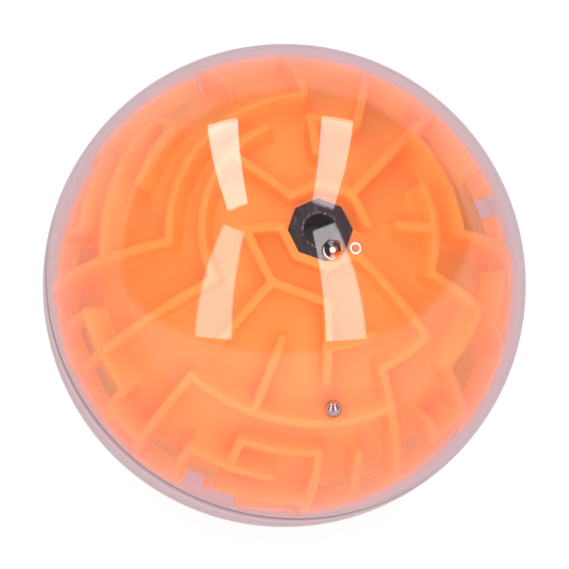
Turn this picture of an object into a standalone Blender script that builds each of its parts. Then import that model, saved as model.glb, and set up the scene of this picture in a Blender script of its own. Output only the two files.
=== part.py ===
"""Ball-maze globe: a clear plastic sphere closed around a hollow moulded maze.

The maze is a round dome in two halves. Its upright walls run along rings (constant angle from
the pole) and spokes (constant compass angle), and a steel ball rolls in the corridors between
them, kept in by the clear sphere just above the wall tops. A black eight-sided cup with a round
bore is let into each pole of the maze. A second steel ball lies on the rim of the upper cup.
The clear sphere carries two moulding marks near its upper pole: a dished round gate mark with a
stub in the middle, and a small ring.

Metres, +Z up. The origin is the centre of the sphere and +Z runs out through the upper cup.
Compass angles are counted in sectors of 22.5 degrees, anticlockwise seen from above, with
sector 0 at -Y, sector 4 at +X, sector 8 at +Y and sector -4 at -X.
"""

import math

import bmesh
import bpy
from mathutils import Vector

MM = 0.001

# Driving dimensions
SPHERE_RADIUS = 60.0 * MM
SHELL_WALL = 2.0 * MM
FLOOR_RADIUS = 51.6 * MM
DOME_WALL = 2.0 * MM
WALL_TOP_RADIUS = 57.0 * MM
WALL_THICKNESS = 2.0 * MM
BALL_RADIUS = 2.1 * MM
GAP = 0.3 * MM

# Resolution of the round work
SEGMENTS = 48
ARC_STEPS = 9
SECTOR = math.radians(22.5)
STEPS_PER_SECTOR = 3
SPOKE_STEP = math.radians(10.0)

# Seam of the clear sphere: the lower half's tongue stands inside the upper half's skirt
SHELL_INNER = SPHERE_RADIUS - SHELL_WALL
TONGUE_OUTER = SHELL_INNER + 0.85 * MM
SKIRT_INNER = TONGUE_OUTER + GAP
TONGUE_HEIGHT = 2.0 * MM

# Moulding marks sunk in the clear sphere: radii about the mark, heights from the centre
GATE_POLAR = math.radians(6.9)
GATE_COMPASS = math.radians(-81.8)
GATE_RADIUS = 2.6 * MM
GATE_FLOOR_RADIUS = 1.8 * MM
GATE_FLOOR = 59.1 * MM
GATE_STUB_RADIUS = 1.0 * MM
GATE_STUB_TOP = 59.6 * MM
RING_MARK_POLAR = math.radians(9.1)
RING_MARK_COMPASS = math.radians(-45.6)
RING_MARK_OUTER = 1.5 * MM
RING_MARK_INNER = 0.9 * MM
RING_MARK_FLOOR = 59.4 * MM
MARK_SEGMENTS = 24

# Seam of the maze: the upper half's spigot stands inside the lower half
DOME_INNER = FLOOR_RADIUS - DOME_WALL
SPIGOT_OUTER = DOME_INNER - GAP
SPIGOT_INNER = SPIGOT_OUTER - 1.3 * MM
SPIGOT_DEPTH = 3.0 * MM

# Walls start inside the dome's thickness. Ring tops are a touch lower than spoke tops.
WALL_ROOT_RADIUS = FLOOR_RADIUS - 1.0 * MM
RING_TOP_RADIUS = WALL_TOP_RADIUS - 0.1 * MM
END_OVERRUN = 0.85 * MM
RIB_TOP_RADIUS = WALL_TOP_RADIUS + 0.6 * MM

# Ring levels, in degrees from the pole
CUP_RING = 10.5
FIRST_RING = 18.9
SECOND_RING = 29.6
THIRD_RING = 38.3
FOURTH_RING = 50.0
FIFTH_RING = 59.3
SIXTH_RING = 70.0
LAST_RING = 81.5
SEAM_END = 89.3
EIGHT_SIDED = (CUP_RING, FIRST_RING)

# Each ring wall is (level, first sector, last sector); each spoke (sector, from, to)
UPPER_RINGS = [
    (CUP_RING, -4, 2), (CUP_RING, 4, 10), (FIRST_RING, -4, 0),
    (SECOND_RING, -7, -3), (SECOND_RING, 0, 1), (SECOND_RING, 3, 5), (SECOND_RING, 7, 8),
    (THIRD_RING, -8, -4), (THIRD_RING, 1, 2), (THIRD_RING, 4, 6),
    (FOURTH_RING, -6, -5), (FOURTH_RING, -2, 1), (FOURTH_RING, 2, 3),
    (FIFTH_RING, -6, -4), (FIFTH_RING, -1, 0), (FIFTH_RING, 3, 3.67), (FIFTH_RING, 5.1, 6),
    (FIFTH_RING, 6.33, 7),
    (SIXTH_RING, -5.5, -4.5), (SIXTH_RING, -3.5, -2.5), (SIXTH_RING, -1.5, -0.5),
    (SIXTH_RING, 1.5, 2), (SIXTH_RING, 4.88, 5.2), (SIXTH_RING, 5.5, 9),
    (LAST_RING, -7, -5.5), (LAST_RING, -2.5, -2), (LAST_RING, -1, 0), (LAST_RING, 2, 4.62),
    (LAST_RING, 5.67, 7),
]
UPPER_SPOKES = [
    (8, FIRST_RING, SECOND_RING), (8, THIRD_RING, SEAM_END),
    (-7, FOURTH_RING, SIXTH_RING), (-6, CUP_RING, SECOND_RING), (-6, FOURTH_RING, FIFTH_RING),
    (-5.5, SIXTH_RING, LAST_RING), (-4.5, SIXTH_RING, LAST_RING),
    (-4, CUP_RING, FIRST_RING), (-4, THIRD_RING, SEAM_END),
    (-3.5, SIXTH_RING, LAST_RING), (-3, SECOND_RING, LAST_RING), (-2.5, SIXTH_RING, LAST_RING),
    (-2, FIRST_RING, THIRD_RING), (-2, FOURTH_RING, SEAM_END), (-1.5, SIXTH_RING, SEAM_END),
    (-1, SECOND_RING, FOURTH_RING), (-1, FIFTH_RING, SIXTH_RING),
    (0, FIRST_RING, THIRD_RING), (0, FIFTH_RING, SEAM_END), (0.5, 62, 78),
    (1, THIRD_RING, LAST_RING), (1.5, 62, SIXTH_RING), (2, CUP_RING, THIRD_RING),
    (2, FOURTH_RING, LAST_RING), (3, SECOND_RING, FOURTH_RING), (3, FIFTH_RING, LAST_RING),
    (4, FIRST_RING, SECOND_RING), (4, THIRD_RING, SEAM_END), (6, CUP_RING, FIFTH_RING),
    (5.67, LAST_RING, SEAM_END), (7, SECOND_RING, LAST_RING),
]
LOWER_RINGS = [
    (CUP_RING, -8, -2), (CUP_RING, 0, 6), (FIRST_RING, 2, 6),
    (SECOND_RING, -6, -3), (SECOND_RING, -1, 2), (SECOND_RING, 4, 7),
    (THIRD_RING, -8, -5), (THIRD_RING, -3, 0), (THIRD_RING, 2, 4),
    (FOURTH_RING, -7, -5), (FOURTH_RING, -1, 2), (FOURTH_RING, 5, 8),
    (FIFTH_RING, -5, -2), (FIFTH_RING, 0, 1), (FIFTH_RING, 3, 5), (FIFTH_RING, 6, 7),
    (SIXTH_RING, -6.6, -4.8), (SIXTH_RING, -4, -3), (SIXTH_RING, -2, 0), (SIXTH_RING, 1, 3),
    (SIXTH_RING, 4, 6), (SIXTH_RING, 7.8, 8.6),
    (LAST_RING, -4.8, -2.3), (LAST_RING, -1, 1), (LAST_RING, 2, 3), (LAST_RING, 5.7, 7.8),
]
LOWER_SPOKES = [
    (8, CUP_RING, FIRST_RING), (8, THIRD_RING, SEAM_END), (-7, FOURTH_RING, FIFTH_RING),
    (-6, CUP_RING, SECOND_RING), (-6, SIXTH_RING, LAST_RING), (-5, THIRD_RING, FIFTH_RING),
    (-4.8, SIXTH_RING, LAST_RING), (-4, SECOND_RING, THIRD_RING), (-4, FIFTH_RING, SEAM_END),
    (-3, SECOND_RING, FOURTH_RING), (-2, FIRST_RING, SECOND_RING), (-2, FIFTH_RING, SIXTH_RING),
    (-1, FOURTH_RING, SIXTH_RING), (0, THIRD_RING, FOURTH_RING), (0, FIFTH_RING, SEAM_END),
    (1, CUP_RING, SECOND_RING), (2, THIRD_RING, FIFTH_RING), (2, SIXTH_RING, LAST_RING),
    (3, FOURTH_RING, SIXTH_RING), (4, FIRST_RING, THIRD_RING), (4, FIFTH_RING, SEAM_END),
    (5, THIRD_RING, FIFTH_RING), (6, FIFTH_RING, SIXTH_RING), (7, THIRD_RING, FOURTH_RING),
    (7, FIFTH_RING, LAST_RING),
]
RIB_SECTORS = (-4, 0, 4, 8)
RIB_START = 84.0

# Cups: eight-sided, sharing the vertices' compass angles with the inner rings
CUP_SIDES = 8
HALF_SIDE = math.pi / CUP_SIDES
CUP_HOLE_APOTHEM = 7.3 * MM
CUP_OUTER_APOTHEM = CUP_HOLE_APOTHEM - 0.15 * MM
CUP_RIM_HEIGHT = 51.0 * MM
CUP_BORE_RADIUS = 3.85 * MM
CUP_TUBE_APOTHEM = 5.0 * MM
CUP_FLOOR_HEIGHT = 42.5 * MM
CUP_FLOOR_THICKNESS = 1.2 * MM
CUP_FLANGE_APOTHEM = 9.6 * MM
CUP_FLANGE_TOP = 48.0 * MM
CUP_FLANGE_THICKNESS = 1.0 * MM
BORE_SEGMENTS = 32

# Balls: the maze ball lies on the fourth ring's wall, leaning on the clear sphere
SPHERE_FACET_LOSS = 0.3 * MM
MAZE_BALL_CLEARANCE = BALL_RADIUS + WALL_THICKNESS / 2 + GAP / 2
MAZE_BALL_DISTANCE = SHELL_INNER - SPHERE_FACET_LOSS - BALL_RADIUS - GAP
MAZE_BALL_POLAR = math.radians(FOURTH_RING) - MAZE_BALL_CLEARANCE / MAZE_BALL_DISTANCE
MAZE_BALL_COMPASS = math.radians(-86.7)
CUP_BALL_HEIGHT = CUP_RIM_HEIGHT + BALL_RADIUS + GAP
CUP_RING_REACH = CUP_BALL_HEIGHT * math.tan(math.radians(CUP_RING)) * math.cos(HALF_SIDE)
CUP_BALL_ORBIT = CUP_RING_REACH - WALL_THICKNESS / 2 - BALL_RADIUS - GAP / 2
CUP_BALL_COMPASS = math.radians(-68.0)


def remove_everything():
    for thing in list(bpy.data.objects):
        bpy.data.objects.remove(thing, do_unlink=True)


def plastic(name, colour, roughness, metallic=0.0, alpha=1.0, transmission=0.0):
    material = bpy.data.materials.new(name)
    material.use_nodes = True
    shader = material.node_tree.nodes["Principled BSDF"]
    shader.inputs["Base Color"].default_value = (*colour, 1.0)
    shader.inputs["Roughness"].default_value = roughness
    shader.inputs["Metallic"].default_value = metallic
    shader.inputs["Alpha"].default_value = alpha
    shader.inputs["Transmission Weight"].default_value = transmission
    material.diffuse_color = (*colour, alpha)
    return material


def to_object(name, mesh_builder, material=None):
    """A new object in the scene from a bmesh, with its faces turned outward."""
    bmesh.ops.recalc_face_normals(mesh_builder, faces=mesh_builder.faces)
    mesh = bpy.data.meshes.new(name)
    mesh_builder.to_mesh(mesh)
    mesh_builder.free()
    thing = bpy.data.objects.new(name, mesh)
    bpy.context.collection.objects.link(thing)
    if material:
        mesh.materials.append(material)
    return thing


def smooth(thing, sharp_angle=30.0):
    thing.data.shade_smooth()
    thing.data.set_sharp_from_angle(angle=math.radians(sharp_angle))


def compass(sector):
    return sector * SECTOR - math.pi / 2


def outward(polar, azimuth):
    """Unit vector from the centre, polar angle from +Z."""
    across = math.sin(polar)
    return Vector((across * math.cos(azimuth), across * math.sin(azimuth), math.cos(polar)))


def down_slope(polar, azimuth):
    """Unit vector along the sphere, away from the pole."""
    along = math.cos(polar)
    return Vector((along * math.cos(azimuth), along * math.sin(azimuth), -math.sin(polar)))


def sideways(azimuth):
    """Unit vector along the sphere, anticlockwise."""
    return Vector((-math.sin(azimuth), math.cos(azimuth), 0.0))


def arc(radius, polar_from, polar_to, steps):
    """Profile points (distance from the axis, height) on a circle about the centre."""
    points = []
    for step in range(steps + 1):
        polar = polar_from + (polar_to - polar_from) * step / steps
        points.append((radius * math.sin(polar), radius * math.cos(polar)))
    return points


def turned(name, profile, material=None, segments=SEGMENTS):
    """Spin a profile of (distance from the axis, height) points about Z."""
    shape = bmesh.new()
    corners = [shape.verts.new((across, 0.0, height)) for across, height in profile]
    edges = [shape.edges.new(pair) for pair in zip(corners, corners[1:])]
    bmesh.ops.spin(shape, geom=corners + edges, cent=(0, 0, 0), axis=(0, 0, 1),
                   angle=2 * math.pi, steps=segments, use_merge=True)
    bmesh.ops.remove_doubles(shape, verts=shape.verts, dist=1e-7)
    thing = to_object(name, shape, material)
    smooth(thing)
    return thing


def add_bar(shape, sections):
    """A closed bar through four-cornered sections."""
    rows = [[shape.verts.new(corner) for corner in section] for section in sections]
    for near, far in zip(rows, rows[1:]):
        for side in range(4):
            following = (side + 1) % 4
            shape.faces.new((near[side], near[following], far[following], far[side]))
    shape.faces.new(rows[0])
    shape.faces.new(reversed(rows[-1]))


def section(along, across, half, root, top):
    """Corners of a wall's section: along points out from the centre, across over the wall."""
    return [along * root - across * half, along * root + across * half,
            along * top + across * half, along * top - across * half]


def add_ring(shape, level, first, last):
    """A wall at one angle from the pole, between two sectors."""
    polar = math.radians(level)
    half = WALL_THICKNESS / 2
    sectors_per_step = 1 / STEPS_PER_SECTOR
    if level in EIGHT_SIDED:
        sectors_per_step = 2
        half /= math.cos(HALF_SIDE)
    steps = max(1, round((last - first) / sectors_per_step))
    overrun = END_OVERRUN / (FLOOR_RADIUS * math.sin(polar))
    sections = []
    for step in range(steps + 1):
        azimuth = compass(first + (last - first) * step / steps)
        azimuth += overrun * ((step == steps) - (step == 0))
        sections.append(section(outward(polar, azimuth), down_slope(polar, azimuth), half,
                                WALL_ROOT_RADIUS, RING_TOP_RADIUS))
    add_bar(shape, sections)


def add_spoke(shape, sector, start, end, top=WALL_TOP_RADIUS):
    """A wall down the dome at one compass angle."""
    azimuth = compass(sector)
    overrun = END_OVERRUN / FLOOR_RADIUS
    polar_from = math.radians(start) - overrun
    polar_to = math.radians(end) + (0.0 if end == SEAM_END else overrun)
    steps = max(1, math.ceil((polar_to - polar_from) / SPOKE_STEP))
    sections = []
    for step in range(steps + 1):
        polar = polar_from + (polar_to - polar_from) * step / steps
        sections.append(section(outward(polar, azimuth), sideways(azimuth), WALL_THICKNESS / 2,
                                WALL_ROOT_RADIUS, top))
    add_bar(shape, sections)


def guide(thing):
    """Keep a construction solid out of the finished model."""
    thing.hide_render = True
    thing.display_type = "WIRE"
    return thing


def maze_walls(name, rings, spokes):
    shape = bmesh.new()
    for level, first, last in rings:
        add_ring(shape, level, first, last)
    for sector, start, end in spokes:
        add_spoke(shape, sector, start, end)
    for sector in RIB_SECTORS:
        add_spoke(shape, sector, RIB_START, SEAM_END, RIB_TOP_RADIUS)
    return guide(to_object(name, shape))


def eight_sided_ring(shape, apothem, height):
    """Eight corners whose compass angles are those of the inner rings' corners."""
    reach = apothem / math.cos(HALF_SIDE)
    return [shape.verts.new((reach * math.cos(2 * HALF_SIDE * side),
                             reach * math.sin(2 * HALF_SIDE * side), height))
            for side in range(CUP_SIDES)]


def eight_sided(name, levels, material=None):
    """A closed solid through eight-sided outlines, given as (apothem, height) pairs."""
    shape = bmesh.new()
    rows = [eight_sided_ring(shape, apothem, height) for apothem, height in levels]
    for near, far in zip(rows, rows[1:]):
        for side in range(CUP_SIDES):
            following = (side + 1) % CUP_SIDES
            shape.faces.new((near[side], near[following], far[following], far[side]))
    shape.faces.new(rows[0])
    shape.faces.new(reversed(rows[-1]))
    return to_object(name, shape, material)


def combine(thing, other, operation):
    step = thing.modifiers.new(other.name, "BOOLEAN")
    step.operation = operation
    step.object = other
    step.solver = "EXACT"
    step.use_self = operation == "UNION"


def maze_half(name, profile, rings, spokes, material):
    """A dome with its walls, open at the pole for the cup."""
    dome = turned(name, profile, material)
    combine(dome, maze_walls(name + "_walls", rings, spokes), "UNION")
    hole = eight_sided(name + "_cup_hole", [(CUP_HOLE_APOTHEM, DOME_INNER - 3 * MM),
                                            (CUP_HOLE_APOTHEM, SPHERE_RADIUS)])
    combine(dome, guide(hole), "DIFFERENCE")
    return dome


def upper_dome_profile():
    inside_turn = math.acos(SPIGOT_DEPTH / DOME_INNER)
    return (arc(FLOOR_RADIUS, 0.0, math.pi / 2 - GAP / 2 / FLOOR_RADIUS, ARC_STEPS)
            + [(SPIGOT_OUTER, GAP / 2), (SPIGOT_OUTER, -SPIGOT_DEPTH),
               (SPIGOT_INNER, -SPIGOT_DEPTH), (SPIGOT_INNER, SPIGOT_DEPTH)]
            + arc(DOME_INNER, inside_turn, 0.0, ARC_STEPS))


def lower_dome_profile():
    rim = math.pi / 2 - GAP / 2 / FLOOR_RADIUS
    return arc(FLOOR_RADIUS, 0.0, rim, ARC_STEPS) + arc(DOME_INNER, rim, 0.0, ARC_STEPS)


def upper_shell_profile():
    step_height = TONGUE_HEIGHT + GAP
    inside_turn = math.acos(step_height / SHELL_INNER)
    return (arc(SPHERE_RADIUS, 0.0, math.pi / 2 - GAP / 2 / SPHERE_RADIUS, ARC_STEPS)
            + [(SKIRT_INNER, GAP / 2), (SKIRT_INNER, step_height)]
            + arc(SHELL_INNER, inside_turn, 0.0, ARC_STEPS))


def lower_shell_profile():
    """Drawn the same way up as the upper half and turned over afterwards."""
    rim = math.pi / 2 - GAP / 2 / SPHERE_RADIUS
    return (arc(SPHERE_RADIUS, 0.0, rim, ARC_STEPS)
            + [(TONGUE_OUTER, GAP / 2), (TONGUE_OUTER, -TONGUE_HEIGHT),
               (SHELL_INNER, -TONGUE_HEIGHT)]
            + arc(SHELL_INNER, math.pi / 2, 0.0, ARC_STEPS))


def sink_mark(shell, name, polar, azimuth, profile):
    """Cut a turned shape into the shell, its axis pointing out at the given direction."""
    cutter = guide(turned(name, profile, segments=MARK_SEGMENTS))
    cutter.rotation_euler = (0.0, polar, azimuth)
    combine(shell, cutter, "DIFFERENCE")


def clear_upper_shell(material):
    """The upper half of the clear sphere with its gate mark and ring mark."""
    shell = turned("clear_shell_upper", upper_shell_profile(), material)
    above = SPHERE_RADIUS + 1 * MM
    dish = [(0.0, above), (GATE_RADIUS, above), (GATE_RADIUS, SPHERE_RADIUS - GAP),
            (GATE_FLOOR_RADIUS, GATE_FLOOR), (GATE_STUB_RADIUS, GATE_FLOOR),
            (GATE_STUB_RADIUS, GATE_STUB_TOP), (0.0, GATE_STUB_TOP)]
    sink_mark(shell, "gate_mark", GATE_POLAR, GATE_COMPASS, dish)
    groove = [(RING_MARK_OUTER, above), (RING_MARK_OUTER, RING_MARK_FLOOR),
              (RING_MARK_INNER, RING_MARK_FLOOR), (RING_MARK_INNER, above),
              (RING_MARK_OUTER, above)]
    sink_mark(shell, "ring_mark", RING_MARK_POLAR, RING_MARK_COMPASS, groove)


def cup(name, material):
    """A round-bored cup. Its flange bears on the inside of the dome around the dome's hole."""
    flange_bottom = CUP_FLANGE_TOP - CUP_FLANGE_THICKNESS
    body = eight_sided(name, [(CUP_OUTER_APOTHEM, CUP_RIM_HEIGHT),
                              (CUP_OUTER_APOTHEM, CUP_FLANGE_TOP),
                              (CUP_FLANGE_APOTHEM, CUP_FLANGE_TOP),
                              (CUP_FLANGE_APOTHEM, flange_bottom),
                              (CUP_TUBE_APOTHEM, flange_bottom),
                              (CUP_TUBE_APOTHEM, CUP_FLOOR_HEIGHT - CUP_FLOOR_THICKNESS)],
                       material)
    drill = bmesh.new()
    bmesh.ops.create_cone(drill, cap_ends=True, segments=BORE_SEGMENTS, radius1=CUP_BORE_RADIUS,
                          radius2=CUP_BORE_RADIUS, depth=SPHERE_RADIUS - CUP_FLOOR_HEIGHT)
    bore = guide(to_object(name + "_bore", drill))
    bore.location.z = (SPHERE_RADIUS + CUP_FLOOR_HEIGHT) / 2
    combine(body, bore, "DIFFERENCE")
    return body


def turn_over(thing):
    """Put a lower piece and its cutters in place: half a turn about X."""
    for item in [thing] + [step.object for step in thing.modifiers]:
        item.location.z = -item.location.z
        item.rotation_euler.x = math.pi


def ball(name, place, material):
    """A ball carried by an empty on the axis that it circles."""
    axis = bpy.data.objects.new(name + "_axis", None)
    bpy.context.collection.objects.link(axis)
    shape = bmesh.new()
    bmesh.ops.create_icosphere(shape, subdivisions=3, radius=BALL_RADIUS)
    thing = to_object(name, shape, material)
    smooth(thing, 60.0)
    thing.location = place
    thing.parent = axis
    return thing


def build():
    remove_everything()
    clear = plastic("clear_plastic", (0.93, 0.90, 0.91), 0.05, alpha=0.3, transmission=1.0)
    orange = plastic("orange_plastic", (0.97, 0.30, 0.07), 0.35)
    black = plastic("black_plastic", (0.06, 0.05, 0.06), 0.3)
    steel = plastic("steel", (0.75, 0.74, 0.73), 0.12, metallic=1.0)

    clear_upper_shell(clear)
    turn_over(turned("clear_shell_lower", lower_shell_profile(), clear))

    maze_half("maze_dome_upper", upper_dome_profile(), UPPER_RINGS, UPPER_SPOKES, orange)
    lower = maze_half("maze_dome_lower", lower_dome_profile(), LOWER_RINGS, LOWER_SPOKES, orange)
    turn_over(lower)

    cup("start_cup", black)
    turn_over(cup("finish_cup", black))

    ball("maze_ball", outward(MAZE_BALL_POLAR, MAZE_BALL_COMPASS) * MAZE_BALL_DISTANCE, steel)
    ball("cup_ball", (CUP_BALL_ORBIT * math.cos(CUP_BALL_COMPASS),
                      CUP_BALL_ORBIT * math.sin(CUP_BALL_COMPASS),
                      CUP_BALL_HEIGHT), steel)


build()
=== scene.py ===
"""The looks of the ball-maze globe: clear sphere, orange maze, black cups and steel balls."""

import math

import bmesh
import bpy
from mathutils import Matrix, Vector


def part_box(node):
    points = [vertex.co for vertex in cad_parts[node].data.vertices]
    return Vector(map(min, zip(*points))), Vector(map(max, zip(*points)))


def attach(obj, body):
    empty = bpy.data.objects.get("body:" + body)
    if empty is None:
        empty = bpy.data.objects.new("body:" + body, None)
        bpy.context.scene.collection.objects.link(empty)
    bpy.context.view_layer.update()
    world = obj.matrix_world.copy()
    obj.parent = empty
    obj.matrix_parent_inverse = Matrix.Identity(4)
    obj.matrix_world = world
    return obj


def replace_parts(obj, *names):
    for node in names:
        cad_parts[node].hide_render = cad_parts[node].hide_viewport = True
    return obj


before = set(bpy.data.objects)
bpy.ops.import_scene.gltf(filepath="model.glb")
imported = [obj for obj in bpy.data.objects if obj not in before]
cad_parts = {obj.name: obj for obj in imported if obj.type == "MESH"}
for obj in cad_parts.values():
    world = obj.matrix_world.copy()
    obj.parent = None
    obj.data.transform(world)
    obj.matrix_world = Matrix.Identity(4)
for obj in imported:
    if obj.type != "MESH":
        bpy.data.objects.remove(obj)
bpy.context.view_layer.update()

MM = 0.001
SCENE = bpy.context.scene
SHELL_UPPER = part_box("clear_shell_upper")
SHELL_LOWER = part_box("clear_shell_lower")
SPHERE_RADIUS = SHELL_UPPER[1].z
FLOOR_LEVEL = SHELL_LOWER[0].z

# ---------------------------------------------------------------- dimensions
# As in the CAD, but for walls 0.1 mm fuller a side and cups that fit their holes more closely.
# Rings are angles in degrees from the pole; walls are (ring, first sector, last sector), and
# spokes are (sector, first ring, last ring).
SHELL_WALL = 2.0 * MM
SHELL_INNER = SPHERE_RADIUS - SHELL_WALL
SEAM_GAP = 0.02 * MM
SEAM_LINE = 0.07 * MM
LAP_HEIGHT = 2.2 * MM
LAP_STEP = 0.06 * MM
FLOOR_RADIUS = 51.6 * MM
DOME_WALL = 2.0 * MM
WALL_TOP = 57.0 * MM
WALL_HALF = 1.1 * MM
RIB_TOP = WALL_TOP + 0.6 * MM
SECTOR = math.radians(22.5)

CUP_RING = 10.5
FIRST_RING = 18.9
SECOND_RING = 29.6
THIRD_RING = 38.3
FOURTH_RING = 50.0
FIFTH_RING = 59.3
SIXTH_RING = 70.0
LAST_RING = 81.5
SEAM_END = 89.3
EIGHT_SIDED = (CUP_RING, FIRST_RING)

UPPER_RINGS = [
    (CUP_RING, -4, 2), (CUP_RING, 4, 10), (FIRST_RING, -4, 0),
    (SECOND_RING, -7, -3), (SECOND_RING, 0, 1), (SECOND_RING, 3, 5), (SECOND_RING, 7, 8),
    (THIRD_RING, -8, -4), (THIRD_RING, 1, 2), (THIRD_RING, 4, 6),
    (FOURTH_RING, -6, -5), (FOURTH_RING, -2, 1), (FOURTH_RING, 2, 3),
    (FIFTH_RING, -6, -4), (FIFTH_RING, -1, 0), (FIFTH_RING, 3, 3.67), (FIFTH_RING, 5.1, 6),
    (FIFTH_RING, 6.33, 7),
    (SIXTH_RING, -5.5, -4.5), (SIXTH_RING, -3.5, -2.5), (SIXTH_RING, -1.5, -0.5),
    (SIXTH_RING, 1.5, 2), (SIXTH_RING, 4.88, 5.2), (SIXTH_RING, 5.5, 9),
    (LAST_RING, -7, -5.5), (LAST_RING, -2.5, -2), (LAST_RING, -1, 0), (LAST_RING, 2, 4.62),
    (LAST_RING, 5.67, 7),
]
UPPER_SPOKES = [
    (8, FIRST_RING, SECOND_RING), (8, THIRD_RING, SEAM_END),
    (-7, FOURTH_RING, SIXTH_RING), (-6, CUP_RING, SECOND_RING), (-6, FOURTH_RING, FIFTH_RING),
    (-5.5, SIXTH_RING, LAST_RING), (-4.5, SIXTH_RING, LAST_RING),
    (-4, CUP_RING, FIRST_RING), (-4, THIRD_RING, SEAM_END),
    (-3.5, SIXTH_RING, LAST_RING), (-3, SECOND_RING, LAST_RING), (-2.5, SIXTH_RING, LAST_RING),
    (-2, FIRST_RING, THIRD_RING), (-2, FOURTH_RING, SEAM_END), (-1.5, SIXTH_RING, SEAM_END),
    (-1, SECOND_RING, FOURTH_RING), (-1, FIFTH_RING, SIXTH_RING),
    (0, FIRST_RING, THIRD_RING), (0, FIFTH_RING, SEAM_END), (0.5, 62, 78),
    (1, THIRD_RING, LAST_RING), (1.5, 62, SIXTH_RING), (2, CUP_RING, THIRD_RING),
    (2, FOURTH_RING, LAST_RING), (3, SECOND_RING, FOURTH_RING), (3, FIFTH_RING, LAST_RING),
    (4, FIRST_RING, SECOND_RING), (4, THIRD_RING, SEAM_END), (6, CUP_RING, FIFTH_RING),
    (5.67, LAST_RING, SEAM_END), (7, SECOND_RING, LAST_RING),
]
LOWER_RINGS = [
    (CUP_RING, -8, -2), (CUP_RING, 0, 6), (FIRST_RING, 2, 6),
    (SECOND_RING, -6, -3), (SECOND_RING, -1, 2), (SECOND_RING, 4, 7),
    (THIRD_RING, -8, -5), (THIRD_RING, -3, 0), (THIRD_RING, 2, 4),
    (FOURTH_RING, -7, -5), (FOURTH_RING, -1, 2), (FOURTH_RING, 5, 8),
    (FIFTH_RING, -5, -2), (FIFTH_RING, 0, 1), (FIFTH_RING, 3, 5), (FIFTH_RING, 6, 7),
    (SIXTH_RING, -6.6, -4.8), (SIXTH_RING, -4, -3), (SIXTH_RING, -2, 0), (SIXTH_RING, 1, 3),
    (SIXTH_RING, 4, 6), (SIXTH_RING, 7.8, 8.6),
    (LAST_RING, -4.8, -2.3), (LAST_RING, -1, 1), (LAST_RING, 2, 3), (LAST_RING, 5.7, 7.8),
]
LOWER_SPOKES = [
    (8, CUP_RING, FIRST_RING), (8, THIRD_RING, SEAM_END), (-7, FOURTH_RING, FIFTH_RING),
    (-6, CUP_RING, SECOND_RING), (-6, SIXTH_RING, LAST_RING), (-5, THIRD_RING, FIFTH_RING),
    (-4.8, SIXTH_RING, LAST_RING), (-4, SECOND_RING, THIRD_RING), (-4, FIFTH_RING, SEAM_END),
    (-3, SECOND_RING, FOURTH_RING), (-2, FIRST_RING, SECOND_RING), (-2, FIFTH_RING, SIXTH_RING),
    (-1, FOURTH_RING, SIXTH_RING), (0, THIRD_RING, FOURTH_RING), (0, FIFTH_RING, SEAM_END),
    (1, CUP_RING, SECOND_RING), (2, THIRD_RING, FIFTH_RING), (2, SIXTH_RING, LAST_RING),
    (3, FOURTH_RING, SIXTH_RING), (4, FIRST_RING, THIRD_RING), (4, FIFTH_RING, SEAM_END),
    (5, THIRD_RING, FIFTH_RING), (6, FIFTH_RING, SIXTH_RING), (7, THIRD_RING, FOURTH_RING),
    (7, FIFTH_RING, LAST_RING),
]
RIB_SECTORS = (-4, 0, 4, 8)
RIB_START = 84.0

CUP_SIDES = 8
HALF_SIDE = math.pi / CUP_SIDES
CUP_HOLE_APOTHEM = 7.25 * MM
CUP_OUTER_APOTHEM = 7.2 * MM
CUP_RIM_HEIGHT = 51.0 * MM
CUP_BORE_RADIUS = 3.85 * MM
CUP_TUBE_RADIUS = 5.0 * MM
CUP_FLOOR_HEIGHT = 42.5 * MM
CUP_UNDERSIDE = 41.3 * MM
CUP_FLANGE_APOTHEM = 9.4 * MM
CUP_FLANGE_TOP = 48.0 * MM
CUP_FLANGE_BOTTOM = 47.0 * MM
LIP_WEAR_OUT = 0.45 * MM
LIP_WEAR_WIDTH = 0.75 * MM

# ---------------------------------------------------------------- camera
VIEW = Vector((-0.17950, -0.24745, 0.95213)).normalized()
VIEW_RIGHT = Vector((0.98336, -0.07269, 0.16650)).normalized()
VIEW_UP = VIEW.cross(VIEW_RIGHT).normalized()
CAMERA_DISTANCE = 1.1
FRAME_PIXELS = 569
FOCAL_PIXELS = 4423.0
SENSOR = 36.0
AIM_RIGHT = 0.04 * MM
AIM_UP = 0.23 * MM


def make_camera():
    """The camera, looking down near the cup's pole from the photographed side."""
    data = bpy.data.cameras.new("camera")
    data.sensor_width = SENSOR
    data.lens = SENSOR * FOCAL_PIXELS / FRAME_PIXELS
    data.clip_start = 0.01
    data.clip_end = 20.0
    camera = bpy.data.objects.new("camera", data)
    SCENE.collection.objects.link(camera)
    place = VIEW * CAMERA_DISTANCE + VIEW_RIGHT * AIM_RIGHT + VIEW_UP * AIM_UP
    turn = Matrix((VIEW_RIGHT, VIEW_UP, VIEW)).transposed()
    camera.matrix_world = Matrix.Translation(place) @ turn.to_4x4()
    SCENE.camera = camera


make_camera()


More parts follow.
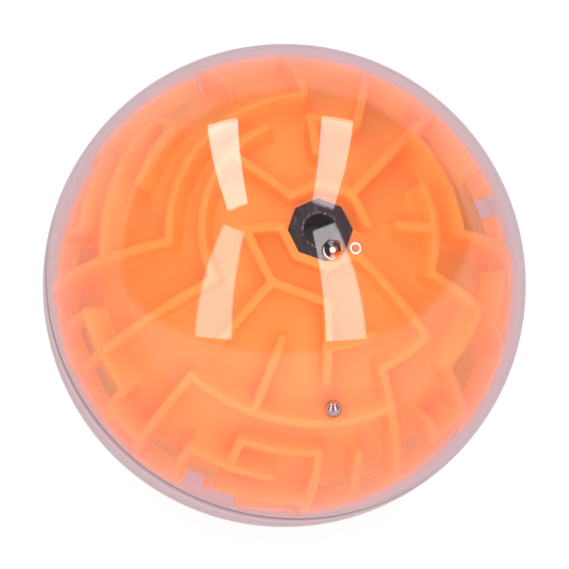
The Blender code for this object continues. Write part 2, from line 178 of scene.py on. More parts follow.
# ---------------------------------------------------------------- node helpers
class Shader:
    """A material's node tree, with short ways to add and join nodes."""

    def __init__(self, name):
        self.material = bpy.data.materials.new(name)
        self.material.use_nodes = True
        self.nodes = self.material.node_tree.nodes
        self.links = self.material.node_tree.links
        self.nodes.clear()
        self.out = self.nodes.new("ShaderNodeOutputMaterial")

    def add(self, kind, **inputs):
        node = self.nodes.new("ShaderNode" + kind)
        for key, value in inputs.items():
            if hasattr(value, "is_output"):
                self.links.new(value, node.inputs[key.replace("_", " ")])
            else:
                node.inputs[key.replace("_", " ")].default_value = value
        return node

    def join(self, source, target):
        self.links.new(source, target)

    def ramp(self, factor, *stops):
        node = self.nodes.new("ShaderNodeValToRGB")
        self.links.new(factor, node.inputs[0])
        elements = node.color_ramp.elements
        while len(elements) < len(stops):
            elements.new(0.5)
        for element, (place, colour) in zip(elements, stops):
            element.position = place
            element.color = (*colour, 1.0) if len(colour) == 3 else colour
        return node.outputs[0]

    def math(self, operation, first, second=None, clamp=False):
        node = self.nodes.new("ShaderNodeMath")
        node.operation = operation
        node.use_clamp = clamp
        for socket, value in zip(node.inputs, (first, second)):
            if value is None:
                continue
            if hasattr(value, "is_output"):
                self.links.new(value, socket)
            else:
                socket.default_value = value
        return node.outputs[0]

    def place(self, scale=1.0):
        coordinates = self.nodes.new("ShaderNodeTexCoord").outputs["Object"]
        if scale == 1.0:
            return coordinates
        mapping = self.nodes.new("ShaderNodeMapping")
        self.links.new(coordinates, mapping.inputs["Vector"])
        mapping.inputs["Scale"].default_value = scale if hasattr(scale, "__len__") else (scale,) * 3
        return mapping.outputs[0]

    def noise(self, scale, detail=3.0, roughness=0.5, where=None):
        node = self.nodes.new("ShaderNodeTexNoise")
        self.links.new(where or self.place(), node.inputs["Vector"])
        node.inputs["Scale"].default_value = scale
        node.inputs["Detail"].default_value = detail
        node.inputs["Roughness"].default_value = roughness
        return node.outputs["Fac"]

    def bump(self, height, strength, distance):
        node = self.nodes.new("ShaderNodeBump")
        node.inputs["Strength"].default_value = strength
        node.inputs["Distance"].default_value = distance
        self.links.new(height, node.inputs["Height"])
        return node.outputs[0]

    def surface(self, shader):
        self.links.new(shader, self.out.inputs["Surface"])
        return self.material


def orange_plastic():
    """Translucent moulded plastic: light spreads through the walls, with faint flow marks."""
    shader = Shader("orange_plastic")
    principled = shader.add("BsdfPrincipled")
    flow = shader.noise(45.0, 4.0, 0.55)
    tone = shader.ramp(flow, (0.3, (0.95, 0.31, 0.062)), (0.7, (0.98, 0.34, 0.075)))
    shader.join(tone, principled.inputs["Base Color"])
    gloss = shader.ramp(shader.noise(900.0, 2.0), (0.3, (0.30,) * 3), (0.7, (0.40,) * 3))
    shader.join(gloss, principled.inputs["Roughness"])
    grain = shader.bump(shader.noise(2600.0, 2.0), 0.06, 0.02 * MM)
    shader.join(grain, principled.inputs["Normal"])
    principled.subsurface_method = "BURLEY"
    principled.inputs["Subsurface Weight"].default_value = 1.0
    principled.inputs["Subsurface Radius"].default_value = (1.0, 0.45, 0.12)
    principled.inputs["Subsurface Scale"].default_value = 8.0 * MM
    principled.inputs["Specular IOR Level"].default_value = 0.06
    return shader.surface(principled.outputs[0])


def clear_plastic():
    """Clear moulded plastic, hazy at a slant; light crosses the welded seam, whose edges are dull."""
    shader = Shader("clear_plastic")
    glass = shader.add("BsdfPrincipled")
    slant = shader.add("LayerWeight", Blend=0.5).outputs["Facing"]
    depth = shader.ramp(slant, (0.3, (0.86, 0.78, 0.82)), (0.7, (0.86, 0.71, 0.74)),
                        (1.0, (0.76, 0.61, 0.66)))
    shader.join(depth, glass.inputs["Base Color"])
    haze = shader.ramp(slant, (0.48, (0.0,) * 3), (0.66, (0.10,) * 3), (0.74, (0.12,) * 3),
                       (1.0, (0.10,) * 3))
    shader.join(haze, glass.inputs["Roughness"])
    glass.inputs["Transmission Weight"].default_value = 1.0
    glass.inputs["IOR"].default_value = 1.55
    ripple = shader.bump(shader.noise(28.0, 1.0), 0.05, 0.2 * MM)
    shader.join(ripple, glass.inputs["Normal"])
    open_way = shader.add("BsdfTransparent")
    open_way.inputs["Color"].default_value = (0.93, 0.92, 0.925, 1.0)
    path = shader.nodes.new("ShaderNodeLightPath")
    indirect = shader.math("MAXIMUM", path.outputs["Is Shadow Ray"], path.outputs["Is Diffuse Ray"])
    apart = shader.nodes.new("ShaderNodeSeparateXYZ")
    shader.join(shader.place(), apart.inputs[0])
    height = shader.math("ABSOLUTE", apart.outputs["Z"])
    welded = shader.math("LESS_THAN", height, SEAM_GAP)
    let_through = shader.math("MAXIMUM", indirect, welded)
    seam = shader.add("BsdfPrincipled")
    seam.inputs["Base Color"].default_value = (0.86, 0.78, 0.81, 1.0)
    seam.inputs["Roughness"].default_value = 0.5
    edge = shader.nodes.new("ShaderNodeMixShader")
    shader.join(shader.math("LESS_THAN", height, SEAM_LINE), edge.inputs[0])
    shader.join(glass.outputs[0], edge.inputs[1])
    shader.join(seam.outputs[0], edge.inputs[2])
    mix = shader.nodes.new("ShaderNodeMixShader")
    shader.join(let_through, mix.inputs[0])
    shader.join(edge.outputs[0], mix.inputs[1])
    shader.join(open_way.outputs[0], mix.inputs[2])
    return shader.surface(mix.outputs[0])


def black_plastic():
    """Satin black with fine scuffs, worn pale round the lip of the bore."""
    shader = Shader("black_plastic")
    principled = shader.add("BsdfPrincipled")
    streaks = shader.noise(1.0, 4.0, 0.7, shader.place((1500.0, 260.0, 900.0)))
    apart = shader.nodes.new("ShaderNodeSeparateXYZ")
    shader.join(shader.place(), apart.inputs[0])
    across = shader.math("POWER", apart.outputs["X"], 2.0)
    along = shader.math("POWER", apart.outputs["Y"], 2.0)
    radius = shader.math("SQRT", shader.math("ADD", across, along))
    past_lip = shader.math("SUBTRACT", radius, CUP_BORE_RADIUS + LIP_WEAR_OUT)
    from_lip = shader.math("ABSOLUTE", past_lip)
    share = shader.math("DIVIDE", from_lip, LIP_WEAR_WIDTH)
    near_lip = shader.math("SUBTRACT", 1.0, share, clamp=True)
    scratches = shader.noise(1.0, 5.0, 0.75, shader.place((2200.0, 900.0, 900.0)))
    marks = shader.math("ADD", scratches, shader.math("MULTIPLY", near_lip, 0.16))
    plain = shader.ramp(streaks, (0.56, (0.017, 0.011, 0.016)), (0.76, (0.17, 0.14, 0.165)))
    worn = shader.ramp(marks, (0.66, (0.0,) * 3), (0.74, (1.0,) * 3))
    mix = shader.nodes.new("ShaderNodeMixRGB")
    shader.join(worn, mix.inputs["Fac"])
    shader.join(plain, mix.inputs["Color1"])
    mix.inputs["Color2"].default_value = (0.42, 0.38, 0.42, 1.0)
    shader.join(mix.outputs["Color"], principled.inputs["Base Color"])
    gloss = shader.ramp(streaks, (0.4, (0.28,) * 3), (0.7, (0.5,) * 3))
    shader.join(gloss, principled.inputs["Roughness"])
    shader.join(shader.bump(marks, 0.3, 0.05 * MM), principled.inputs["Normal"])
    return shader.surface(principled.outputs[0])


def polished_steel():
    """Bright bearing steel with a little wear, darker towards its outline."""
    shader = Shader("polished_steel")
    principled = shader.add("BsdfPrincipled")
    wear = shader.noise(1800.0, 3.0, 0.6)
    tone = shader.ramp(wear, (0.35, (0.54, 0.52, 0.53)), (0.65, (0.66, 0.64, 0.65)))
    shader.join(tone, principled.inputs["Base Color"])
    gloss = shader.ramp(wear, (0.4, (0.06,) * 3), (0.75, (0.16,) * 3))
    shader.join(gloss, principled.inputs["Roughness"])
    principled.inputs["Metallic"].default_value = 1.0
    principled.inputs["Specular Tint"].default_value = (0.32, 0.30, 0.31, 1.0)
    return shader.surface(principled.outputs[0])


def frost_and_highlight_plastic():
    """Clear plastic left rough and white where it was cut or ground; the same white also makes the
    painted highlight bead at the gate mark.
    """
    shader = Shader("frost_and_highlight_plastic")
    principled = shader.add("BsdfPrincipled")
    crumbs = shader.noise(2500.0, 3.0, 0.6)
    tone = shader.ramp(crumbs, (0.3, (0.80, 0.74, 0.77)), (0.7, (0.97, 0.95, 0.96)))
    shader.join(tone, principled.inputs["Base Color"])
    shader.join(shader.bump(crumbs, 0.6, 0.1 * MM), principled.inputs["Normal"])
    principled.inputs["Roughness"].default_value = 0.4
    principled.inputs["Transmission Weight"].default_value = 0.25
    return shader.surface(principled.outputs[0])


def white_surface():
    """A light table: white to the camera and diffuse light, dimmer in gloss and through plastic."""
    shader = Shader("white_surface")
    principled = shader.add("BsdfPrincipled")
    tone = shader.ramp(shader.noise(6.0, 2.0), (0.3, (0.23, 0.23, 0.23)), (0.7, (0.26, 0.26, 0.26)))
    shader.join(tone, principled.inputs["Base Color"])
    principled.inputs["Roughness"].default_value = 0.9
    principled.inputs["Specular IOR Level"].default_value = 0.1
    principled.inputs["Emission Color"].default_value = (1.0, 0.99, 0.995, 1.0)
    principled.inputs["Emission Strength"].default_value = 0.76
    dimmer = shader.add("Emission")
    dimmer.inputs["Color"].default_value = (0.84, 0.68, 0.71, 1.0)
    path = shader.nodes.new("ShaderNodeLightPath")
    bright = shader.math("MAXIMUM", path.outputs["Is Camera Ray"], path.outputs["Is Diffuse Ray"])
    mix = shader.nodes.new("ShaderNodeMixShader")
    shader.join(bright, mix.inputs[0])
    shader.join(dimmer.outputs[0], mix.inputs[1])
    shader.join(principled.outputs[0], mix.inputs[2])
    return shader.surface(mix.outputs[0])


ORANGE = orange_plastic()
CLEAR = clear_plastic()
BLACK = black_plastic()
STEEL = polished_steel()
# This white is real frosting on the cut marks and a painted highlight on the gate bead.
FROST_AND_HIGHLIGHT = frost_and_highlight_plastic()
WHITE = white_surface()


# ---------------------------------------------------------------- mesh helpers
def to_object(name, shape, material, sharp=35.0):
    bmesh.ops.recalc_face_normals(shape, faces=shape.faces)
    mesh = bpy.data.meshes.new(name)
    shape.to_mesh(mesh)
    shape.free()
    mesh.materials.append(material)
    mesh.shade_smooth()
    mesh.set_sharp_from_angle(angle=math.radians(sharp))
    thing = bpy.data.objects.new(name, mesh)
    SCENE.collection.objects.link(thing)
    return thing


def turned(name, profile, material, segments, sharp=35.0):
    """Spin a profile of (distance from the axis, height) points about Z."""
    shape = bmesh.new()
    corners = [shape.verts.new((across, 0.0, height)) for across, height in profile]
    edges = [shape.edges.new(pair) for pair in zip(corners, corners[1:])]
    bmesh.ops.spin(shape, geom=corners + edges, cent=(0, 0, 0), axis=(0, 0, 1),
                   angle=2 * math.pi, steps=segments, use_merge=True)
    bmesh.ops.remove_doubles(shape, verts=shape.verts, dist=1e-7)
    return to_object(name, shape, material, sharp)


def arc(radius, polar_from, polar_to, steps, centre=(0.0, 0.0)):
    points = []
    for step in range(steps + 1):
        polar = polar_from + (polar_to - polar_from) * step / steps
        points.append((centre[0] + radius * math.sin(polar), centre[1] + radius * math.cos(polar)))
    return points


def outward(polar, azimuth):
    across = math.sin(polar)
    return Vector((across * math.cos(azimuth), across * math.sin(azimuth), math.cos(polar)))


def compass(sector):
    return sector * SECTOR - math.pi / 2


def southward(polar, azimuth):
    """Direction along the sphere away from the pole."""
    across = math.cos(polar)
    return Vector((across * math.cos(azimuth), across * math.sin(azimuth), -math.sin(polar)))


def skin(shape, rows):
    """Close a bar over rows of points: its sides, then its two ends."""
    count = len(rows[0])
    for near, far in zip(rows, rows[1:]):
        for side in range(count):
            following = (side + 1) % count
            shape.faces.new((near[side], near[following], far[following], far[side]))
    shape.faces.new(rows[0])
    shape.faces.new(reversed(rows[-1]))


def settle(thing, upper):
    """Lower pieces are drawn the same way up as the upper ones, then turned over."""
    if not upper:
        thing.data.transform(Matrix.Rotation(math.pi, 4, "X"))


def apply_modifiers(thing):
    bpy.context.view_layer.update()
    evaluated = thing.evaluated_get(bpy.context.evaluated_depsgraph_get())
    mesh = bpy.data.meshes.new_from_object(evaluated)
    thing.modifiers.clear()
    thing.data = mesh


# ---------------------------------------------------------------- maze walls and domes
ROOT = FLOOR_RADIUS - 0.8 * MM
FILLET = 0.4 * MM
FOOT_HALF = 1.12 * MM
FOOT_SINK = 0.04 * MM
FOOT_SPREAD = 0.03 * MM
ROOT_SPREAD = 0.1 * MM
CREST = 0.4 * MM
CREST_HALF = 1.06 * MM
PROFILE_TURNS = (0.0, 30.0, 60.0, 90.0)
NOSE_TURNS = (30.0, 60.0, 84.0)
NOSE_STATIONS = 3
RING_BELOW_SPOKE = 0.04 * MM
SIDE_PARTS = 4
STATIONS_PER_SECTOR = 7
DEGREES_PER_STATION = 3.0


def wall_profile(top):
    """(across, out from the centre) points over a wall: flared foot, slight draft, round top."""
    side = [(FOOT_HALF + FILLET + ROOT_SPREAD, ROOT)]
    for turn in reversed(PROFILE_TURNS):
        angle = math.radians(turn)
        side.append((FOOT_HALF + FILLET * (1 - math.cos(angle)) + FOOT_SPREAD,
                     FLOOR_RADIUS + FILLET * (1 - math.sin(angle)) - FOOT_SINK))
    for turn in PROFILE_TURNS:
        angle = math.radians(turn)
        side.append((CREST_HALF - CREST * (1 - math.cos(angle)),
                     top - CREST * (1 - math.sin(angle))))
    return [(-across, out) for across, out in side] + side[::-1]


def sweep(shape, stations, profile):
    """A closed bar over stations of (outward direction, direction across, width)."""
    rows = []
    for direction, across, width in stations:
        rows.append([shape.verts.new(direction * out + across * (offset * width))
                     for offset, out in profile])
    skin(shape, rows)


def round_ends(stations):
    """Add a half-round nose at both ends of a run of stations."""
    def nose(end, inner):
        direction, across, width = end
        away = (direction - inner[0]).normalized()
        away = (away - direction * away.dot(direction)).normalized()
        steps = []
        for angle in NOSE_TURNS:
            turn = math.radians(angle)
            shifted = (direction + away * (WALL_HALF * math.sin(turn) / FLOOR_RADIUS)).normalized()
            steps.append((shifted, across, width * math.cos(turn)))
        return steps
    return (nose(stations[0], stations[1])[::-1] + stations
            + nose(stations[-1], stations[-2]))


def along_ring(level, first, last):
    """Stations of a wall at one angle from the pole, from one sector to another."""
    polar = math.radians(level)
    stations = []
    if level in EIGHT_SIDED:
        corners = [outward(polar, compass(first + 2 * n)) for n in range(int((last - first) / 2) + 1)]
        for number, corner in enumerate(corners):
            down = southward(polar, compass(first + 2 * number))
            stations.append((corner, down, 1 / math.cos(HALF_SIDE)))
            if number + 1 < len(corners):
                following = corners[number + 1]
                chord = (following - corner).normalized()
                for step in range(1, SIDE_PARTS):
                    between = corner.lerp(following, step / SIDE_PARTS).normalized()
                    stations.append((between, chord.cross(between).normalized(), 1.0))
        return stations
    steps = max(2, round((last - first) * STATIONS_PER_SECTOR))
    for step in range(steps + 1):
        azimuth = compass(first + (last - first) * step / steps)
        stations.append((outward(polar, azimuth), southward(polar, azimuth), 1.0))
    return stations


def along_spoke(sector, start, end):
    """Stations of a wall that runs away from the pole, from one angle to another."""
    azimuth = compass(sector)
    across = Vector((-math.sin(azimuth), math.cos(azimuth), 0.0))
    steps = max(2, round((end - start) / DEGREES_PER_STATION))
    return [(outward(math.radians(start + (end - start) * step / steps), azimuth), across, 1.0)
            for step in range(steps + 1)]


def wall_solid(name, rings, spokes):
    """All the walls of one dome as overlapping bars, with the ribs that locate the shell."""
    shape = bmesh.new()
    ring_profile = wall_profile(WALL_TOP - RING_BELOW_SPOKE)
    spoke_profile = wall_profile(WALL_TOP)
    for level, first, last in rings:
        stations = along_ring(level, first, last)
        sweep(shape, round_ends(stations), ring_profile)
    for sector, start, end in spokes:
        stations = round_ends(along_spoke(sector, start, end))
        if end == SEAM_END:
            stations = stations[:-NOSE_STATIONS]
        sweep(shape, stations, spoke_profile)
    for sector in RIB_SECTORS:
        sweep(shape, along_spoke(sector, RIB_START, SEAM_END), wall_profile(RIB_TOP))
    return to_object(name, shape, ORANGE)


HOLE_STEP = 0.7 * MM
HOLE_STEP_FROM = 50.75 * MM
HOLE_STEP_TO = 51.45 * MM
HOLE_PAST_DOME = 3.0 * MM
DOME_HALF_GAP = 0.02 * MM
DOME_STEPS = 48
DOME_INNER_STEPS = 40
DOME_SEGMENTS = 144
SPIGOT_DEPTH = 3.0 * MM
SPIGOT_CLEARANCE = 0.1 * MM
SPIGOT_WALL = 1.3 * MM


def eight_sided(name, levels, material, sharp=25.0):
    """A closed solid through eight-sided outlines, given as (apothem, height) pairs."""
    shape = bmesh.new()
    rows = []
    for apothem, height in levels:
        reach = apothem / math.cos(HALF_SIDE)
        rows.append([shape.verts.new((reach * math.cos(2 * HALF_SIDE * side),
                                      reach * math.sin(2 * HALF_SIDE * side), height))
                     for side in range(CUP_SIDES)])
    skin(shape, rows)
    return to_object(name, shape, material, sharp)


def combine(thing, other, operation):
    """Add a Boolean step; apply_modifiers carries it out."""
    step = thing.modifiers.new(other.name, "BOOLEAN")
    step.operation = operation
    step.object = other
    step.solver = "EXACT"
    step.use_self = operation == "UNION"


def maze_dome(name, profile, rings, spokes, upper):
    """One half of the orange maze: a dome with its walls on, and a hole for the cup."""
    dome = turned(name, profile, ORANGE, DOME_SEGMENTS)
    walls = wall_solid(name + "_walls", rings, spokes)
    wide = CUP_HOLE_APOTHEM + HOLE_STEP
    hole = eight_sided(name + "_hole",
                       [(CUP_HOLE_APOTHEM, FLOOR_RADIUS - DOME_WALL - HOLE_PAST_DOME),
                        (CUP_HOLE_APOTHEM, HOLE_STEP_FROM),
                        (wide, HOLE_STEP_TO),
                        (wide, SPHERE_RADIUS)], ORANGE)
    combine(dome, walls, "UNION")
    combine(dome, hole, "DIFFERENCE")
    apply_modifiers(dome)
    bpy.data.objects.remove(walls)
    bpy.data.objects.remove(hole)
    dome.data.shade_smooth()
    dome.data.set_sharp_from_angle(angle=math.radians(38.0))
    settle(dome, upper)
    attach(dome, "globe")
    return dome


def dome_profile(upper):
    """Half of the dome; the upper half carries the spigot that the lower half slides over."""
    inner = FLOOR_RADIUS - DOME_WALL
    rim = math.pi / 2 - DOME_HALF_GAP / FLOOR_RADIUS
    outer_arc = arc(FLOOR_RADIUS, 0.0, rim, DOME_STEPS)
    if not upper:
        return outer_arc + arc(inner, rim, 0.0, DOME_INNER_STEPS)
    spigot_outer = inner - SPIGOT_CLEARANCE
    spigot_inner = spigot_outer - SPIGOT_WALL
    return (outer_arc + [(spigot_outer, DOME_HALF_GAP), (spigot_outer, -SPIGOT_DEPTH),
                         (spigot_inner, -SPIGOT_DEPTH), (spigot_inner, SPIGOT_DEPTH)]
            + arc(inner, math.acos(SPIGOT_DEPTH / inner), 0.0, DOME_INNER_STEPS))


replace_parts(maze_dome("maze_upper", dome_profile(True), UPPER_RINGS, UPPER_SPOKES, True),
            "maze_dome_upper")
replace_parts(maze_dome("maze_lower", dome_profile(False), LOWER_RINGS, LOWER_SPOKES, False),
            "maze_dome_lower")


# ---------------------------------------------------------------- clear sphere
GATE_POLAR = math.radians(6.9)
GATE_COMPASS = math.radians(-81.8)
GATE_RADIUS = 2.6 * MM
GATE_FLOOR_RADIUS = 1.8 * MM
GATE_FLOOR = 59.1 * MM
GATE_SHOULDER = 59.45 * MM
# The gate bead is a painted highlight: a white bead on one side of the gate mark's wall, standing for
# the lamps' bright crescent there.
GATE_HIGHLIGHT_BEAD_RING = 2.15 * MM
GATE_HIGHLIGHT_BEAD_RADIUS = 0.2 * MM
GATE_HIGHLIGHT_BEAD_HEIGHT = 59.75 * MM
GATE_HIGHLIGHT_BEAD_SPAN = (math.radians(240.0), math.radians(365.0))
GATE_HIGHLIGHT_BEAD_STEPS = 24
GATE_HIGHLIGHT_BEAD_SIDES = 10
STUB_CUT_GAP = 0.02 * MM
FROSTED_SEGMENTS = 40
GATE_STUB_RADIUS = 0.75 * MM
GATE_STUB_TOP = 59.7 * MM
RING_MARK_POLAR = math.radians(9.1)
RING_MARK_COMPASS = math.radians(-45.6)
RING_MARK_OUTER = 1.5 * MM
RING_MARK_INNER = 0.9 * MM
RING_MARK_FLOOR = 59.5 * MM
RING_MARK_MIDDLE = (RING_MARK_OUTER + RING_MARK_INNER) / 2
RING_MARK_HALF = (RING_MARK_OUTER - RING_MARK_INNER) / 2
RING_MARK_STEPS = 8
RING_BEAD_RADIUS = 0.26 * MM
RING_BEAD_DEPTH = 0.29 * MM
RING_BEAD_SIDES = 12
CUTTER_TOP = SPHERE_RADIUS + 1 * MM
CUTTER_EDGE = 0.02 * MM
SHELL_SEGMENTS = 256
SHELL_STEPS = 96
SEAM_BEVEL = 0.05 * MM


def point_out(thing, polar, azimuth):
    """Turn a piece drawn on +Z so that it points out in the given direction."""
    turn = Matrix.Rotation(azimuth, 4, "Z") @ Matrix.Rotation(polar, 4, "Y")
    thing.data.transform(turn)


def sink_marks(shell):
    """Cut the dished gate mark and the ring mark into the outside of the shell."""
    edge = SPHERE_RADIUS - CUTTER_EDGE
    dish = [(0.0, CUTTER_TOP), (GATE_RADIUS + 0.5 * MM, CUTTER_TOP), (GATE_RADIUS, edge)]
    for turn in (15.0, 30.0, 45.0, 60.0, 75.0, 90.0):
        angle = math.radians(turn)
        dish.append((GATE_FLOOR_RADIUS + (GATE_RADIUS - GATE_FLOOR_RADIUS) * math.cos(angle),
                     GATE_SHOULDER + (edge - GATE_SHOULDER) * (1 - math.sin(angle))))
    dish += [(GATE_STUB_RADIUS + 0.15 * MM, GATE_FLOOR),
             (GATE_STUB_RADIUS, GATE_STUB_TOP), (0.0, GATE_STUB_TOP)]
    gate = turned("gate_cutter", dish, CLEAR, 64)
    point_out(gate, GATE_POLAR, GATE_COMPASS)
    groove = [(RING_MARK_OUTER, CUTTER_TOP)]
    for step in range(RING_MARK_STEPS + 1):
        turn = math.pi * step / RING_MARK_STEPS
        groove.append((RING_MARK_MIDDLE + RING_MARK_HALF * math.cos(turn), SPHERE_RADIUS - 0.05 * MM
                       - (SPHERE_RADIUS - RING_MARK_FLOOR) * math.sin(turn)))
    groove += [(RING_MARK_INNER, CUTTER_TOP), (RING_MARK_OUTER, CUTTER_TOP)]
    ring = turned("ring_cutter", groove, CLEAR, 48)
    point_out(ring, RING_MARK_POLAR, RING_MARK_COMPASS)
    for cutter in (gate, ring):
        combine(shell, cutter, "DIFFERENCE")
    apply_modifiers(shell)
    for cutter in (gate, ring):
        bpy.data.objects.remove(cutter)
    shell.data.shade_smooth()
    shell.data.set_sharp_from_angle(angle=math.radians(25.0))


def shell_profile(upper):
    """Half of the sphere: a fine bevel at the parting line, and a shallow step inside the upper."""
    half_gap = SEAM_GAP / 2
    rim = math.acos((half_gap + SEAM_BEVEL) / SPHERE_RADIUS)
    outer_arc = arc(SPHERE_RADIUS, 0.0, rim, SHELL_STEPS)
    outer_arc.append((SPHERE_RADIUS - SEAM_BEVEL, half_gap))
    if not upper:
        inner_arc = arc(SHELL_INNER, math.pi / 2 - 0.001, 0.0, SHELL_STEPS)
        return outer_arc + [(SHELL_INNER, half_gap)] + inner_arc
    inner_arc = arc(SHELL_INNER, math.acos(LAP_HEIGHT / SHELL_INNER), 0.0, SHELL_STEPS - 4)
    lap = SHELL_INNER + LAP_STEP
    return outer_arc + [(lap, half_gap), (lap, LAP_HEIGHT)] + inner_arc


def fix_to_shell(piece, polar, azimuth):
    point_out(piece, polar, azimuth)
    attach(piece, "globe")


def frosted_marks():
    """The cut end of the gate's stub, and the raised middle line of the ring mark."""
    top = GATE_STUB_TOP + STUB_CUT_GAP
    cut = [(0.0, top + 0.12 * MM), (0.35 * MM, top + 0.16 * MM), (0.6 * MM, top + 0.1 * MM),
           (0.7 * MM, top), (0.0, top)]
    fix_to_shell(turned("gate_stub_cut", cut, FROST_AND_HIGHLIGHT, FROSTED_SEGMENTS), GATE_POLAR, GATE_COMPASS)
    bead = []
    for step in range(RING_BEAD_SIDES + 1):
        turn = 2 * math.pi * step / RING_BEAD_SIDES
        bead.append((RING_MARK_MIDDLE + RING_BEAD_RADIUS * math.cos(turn),
                     SPHERE_RADIUS - RING_BEAD_DEPTH + RING_BEAD_RADIUS * math.sin(turn)))
    fix_to_shell(turned("ring_mark_bead", bead, FROST_AND_HIGHLIGHT, FROSTED_SEGMENTS),
                 RING_MARK_POLAR, RING_MARK_COMPASS)


def gate_highlight_bead():
    """A tapering white bead round one side of the gate mark's wall: a painted highlight for the
    bright crescent that the lamps make on that side.
    """
    shape = bmesh.new()
    first, last = GATE_HIGHLIGHT_BEAD_SPAN
    rows = []
    for step in range(GATE_HIGHLIGHT_BEAD_STEPS + 1):
        share = step / GATE_HIGHLIGHT_BEAD_STEPS
        turn = first + (last - first) * share
        thick = GATE_HIGHLIGHT_BEAD_RADIUS * (0.25 + 0.75 * math.sin(math.pi * share))
        row = []
        for side in range(GATE_HIGHLIGHT_BEAD_SIDES):
            angle = 2 * math.pi * side / GATE_HIGHLIGHT_BEAD_SIDES
            across = GATE_HIGHLIGHT_BEAD_RING + thick * math.cos(angle)
            row.append(shape.verts.new((across * math.cos(turn), across * math.sin(turn),
                                        GATE_HIGHLIGHT_BEAD_HEIGHT + thick * math.sin(angle))))
        rows.append(row)
    skin(shape, rows)
    fix_to_shell(to_object("gate_highlight_bead", shape, FROST_AND_HIGHLIGHT), GATE_POLAR, GATE_COMPASS)


frosted_marks()
# The white bead on one side of the gate mark is a painted highlight.
gate_highlight_bead()

for upper, node in ((True, "clear_shell_upper"), (False, "clear_shell_lower")):
    shell = turned("clear_" + ("upper" if upper else "lower"), shell_profile(upper), CLEAR,
                   SHELL_SEGMENTS)
    if upper:
        sink_marks(shell)
    settle(shell, upper)
    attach(shell, "globe")
    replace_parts(shell, node)


# ---------------------------------------------------------------- cups
CUP_BEVEL = 0.3 * MM
CUP_LIP = 0.4 * MM
CUP_FLOOR_BEVEL = 0.6 * MM


def cup(name, node, upper):
    """A black cup: an eight-sided plate and flange, with a round tube and bore below."""
    body = eight_sided(name, [(CUP_OUTER_APOTHEM - CUP_BEVEL, CUP_RIM_HEIGHT),
                              (CUP_OUTER_APOTHEM, CUP_RIM_HEIGHT - CUP_BEVEL),
                              (CUP_OUTER_APOTHEM, CUP_FLANGE_TOP),
                              (CUP_FLANGE_APOTHEM, CUP_FLANGE_TOP),
                              (CUP_FLANGE_APOTHEM, CUP_FLANGE_BOTTOM),
                              (CUP_TUBE_RADIUS, CUP_FLANGE_BOTTOM),
                              (CUP_TUBE_RADIUS, CUP_UNDERSIDE)], BLACK)
    lip_arc = []
    for turn in (0.0, 22.5, 45.0, 67.5, 90.0):
        angle = math.radians(turn)
        lip_arc.append((CUP_BORE_RADIUS + CUP_LIP * (1 - math.sin(angle)),
                        CUP_RIM_HEIGHT - CUP_LIP * (1 - math.cos(angle))))
    bore = turned(name + "_bore", [(0.0, SPHERE_RADIUS), (CUP_BORE_RADIUS + CUP_LIP, SPHERE_RADIUS)]
                  + lip_arc + [(CUP_BORE_RADIUS, CUP_FLOOR_HEIGHT + CUP_FLOOR_BEVEL),
                               (CUP_BORE_RADIUS - CUP_FLOOR_BEVEL, CUP_FLOOR_HEIGHT),
                               (0.0, CUP_FLOOR_HEIGHT)], BLACK, 64)
    combine(body, bore, "DIFFERENCE")
    apply_modifiers(body)
    bpy.data.objects.remove(bore)
    body.data.shade_smooth()
    body.data.set_sharp_from_angle(angle=math.radians(30.0))
    settle(body, upper)
    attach(body, "globe")
    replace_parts(body, node)


cup("cup_upper", "start_cup", True)
cup("cup_lower", "finish_cup", False)


# ---------------------------------------------------------------- balls
def ball(name, node, body):
    """A steel ball in the place and size of its CAD node."""
    low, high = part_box(node)
    shape = bmesh.new()
    bmesh.ops.create_uvsphere(shape, u_segments=64, v_segments=32, radius=(high.z - low.z) / 2)
    bmesh.ops.translate(shape, verts=shape.verts, vec=(low + high) / 2)
    thing = to_object(name, shape, STEEL, 60.0)
    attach(thing, body)
    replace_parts(thing, node)


ball("steel_ball_in_maze", "maze_ball", "maze_ball")
ball("steel_ball_at_cup", "cup_ball", "cup_ball")


# ---------------------------------------------------------------- studio
# A lamp's corners are (right, up, towards the camera) seen from the sphere, and the over lamps'
# start with their own shift. Right-hand lamps mirror the left-hand ones about a shifted line.
# LAMP_SIDES has the side, its name, and the brightness of the front and the over lamp.
LAMP_DISTANCE = 0.9
LAMP_SHIFT = -0.055
OVER_SHIFT = -0.03
FRONT_CORNERS = ((0.30, 0.47, 1.0), (0.53, 0.59, 1.0), (0.91, -0.55, 1.0), (0.43, -0.50, 1.0))
OVER_CORNERS = ((OVER_SHIFT, 0.25, 1.0, 0.05), (OVER_SHIFT, 0.45, 1.0, 0.0),
                (LAMP_SHIFT, 0.70, 1.0, 1.30), (LAMP_SHIFT, 0.39, 1.0, 1.21))
LAMP_SIDES = ((-1, "left", 3.8, 5.6), (1, "right", 4.4, 4.3))
FILL_DISTANCE = 1.3
FLOOR_SIZE = 6.0
FLOOR_PARTS = 8
FLOOR_DROP = 0.05 * MM
TABLE_EDGE_TILT = 0.7
TABLE_EDGE_FADE = 0.09


def view_direction(right, up, towards):
    return VIEW_RIGHT * right + VIEW_UP * up + VIEW * towards


def lamp(name, radiance, corners):
    """A soft lamp panel, unseen by the camera, through four points given as view directions."""
    shape = bmesh.new()
    points = [shape.verts.new(view_direction(*corner) * LAMP_DISTANCE) for corner in corners]
    shape.faces.new(points)
    mesh = bpy.data.meshes.new(name)
    shape.to_mesh(mesh)
    shape.free()
    panel = bpy.data.objects.new(name, mesh)
    SCENE.collection.objects.link(panel)
    shader = Shader(name)
    emission = shader.add("Emission")
    emission.inputs["Strength"].default_value = radiance
    mesh.materials.append(shader.surface(emission.outputs[0]))
    panel.visible_camera = False


for side, word, front, over in LAMP_SIDES:
    lamp("lamp_front_" + word, front, [(LAMP_SHIFT + side * right, up, towards)
                                       for right, up, towards in FRONT_CORNERS])
    lamp("lamp_over_" + word, over, [(shift + side * right, up, towards)
                                     for shift, right, up, towards in OVER_CORNERS])


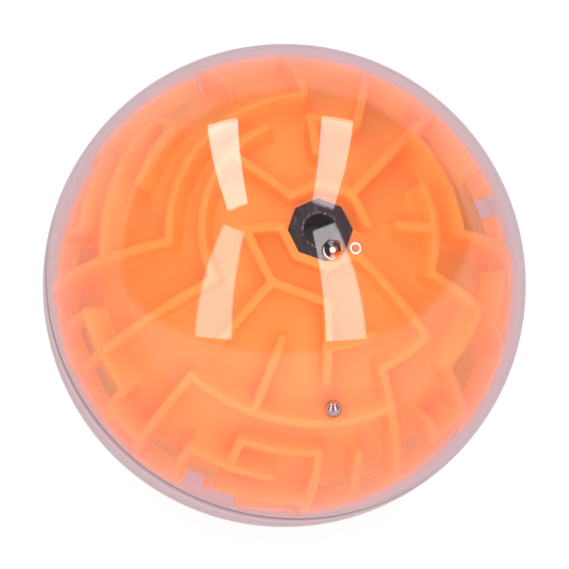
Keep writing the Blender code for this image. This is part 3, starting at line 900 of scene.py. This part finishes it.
def fill_light(name, direction, size, power):
    """A large soft light that adds brightness without a reflection of its own."""
    data = bpy.data.lights.new(name, "AREA")
    data.shape = "DISK"
    data.size = size
    data.energy = power
    light = bpy.data.objects.new(name, data)
    SCENE.collection.objects.link(light)
    aim = direction.normalized()
    light.location = aim * FILL_DISTANCE
    light.rotation_euler = aim.to_track_quat("Z", "Y").to_euler()
    light.visible_camera = False
    light.visible_glossy = False
    light.visible_transmission = False


fill_light("fill_front", view_direction(0.0, 0.15, 1.0), 1.4, 10.0)
fill_light("fill_over", view_direction(-0.1, 1.0, 0.7), 1.2, 4.0)
fill_light("fill_under", view_direction(0.0, -1.0, 0.6), 1.4, 6.0)


def make_floor():
    """A wide pale floor just under the sphere."""
    bpy.ops.mesh.primitive_grid_add(x_subdivisions=FLOOR_PARTS, y_subdivisions=FLOOR_PARTS,
                                    size=FLOOR_SIZE, location=(0, 0, FLOOR_LEVEL - FLOOR_DROP))
    floor = bpy.context.object
    floor.name = "floor"
    floor.data.materials.append(WHITE)


def make_world():
    """A white table side below the view and a dim room round the camera."""
    world = bpy.data.worlds.new("studio")
    SCENE.world = world
    world.use_nodes = True
    nodes = world.node_tree.nodes
    links = world.node_tree.links
    nodes.clear()
    out = nodes.new("ShaderNodeOutputWorld")
    sky = nodes.new("ShaderNodeBackground")
    links.new(sky.outputs[0], out.inputs[0])
    place = nodes.new("ShaderNodeTexCoord").outputs["Generated"]
    edge = (VIEW_UP + VIEW * TABLE_EDGE_TILT).normalized()
    dot = nodes.new("ShaderNodeVectorMath")
    dot.operation = "DOT_PRODUCT"
    links.new(place, dot.inputs[0])
    dot.inputs[1].default_value = edge
    ramp = nodes.new("ShaderNodeValToRGB")
    links.new(dot.outputs["Value"], ramp.inputs[0])
    ramp.color_ramp.interpolation = "EASE"
    ramp.color_ramp.elements[0].position = 0.0
    ramp.color_ramp.elements[0].color = (1.0, 0.99, 1.0, 1.0)
    ramp.color_ramp.elements[1].position = TABLE_EDGE_FADE
    ramp.color_ramp.elements[1].color = (0.22, 0.21, 0.22, 1.0)
    links.new(ramp.outputs[0], sky.inputs["Color"])
    sky.inputs["Strength"].default_value = 1.0


make_floor()
make_world()
SCENE.view_settings.view_transform = "Standard"
SCENE.view_settings.look = "None"
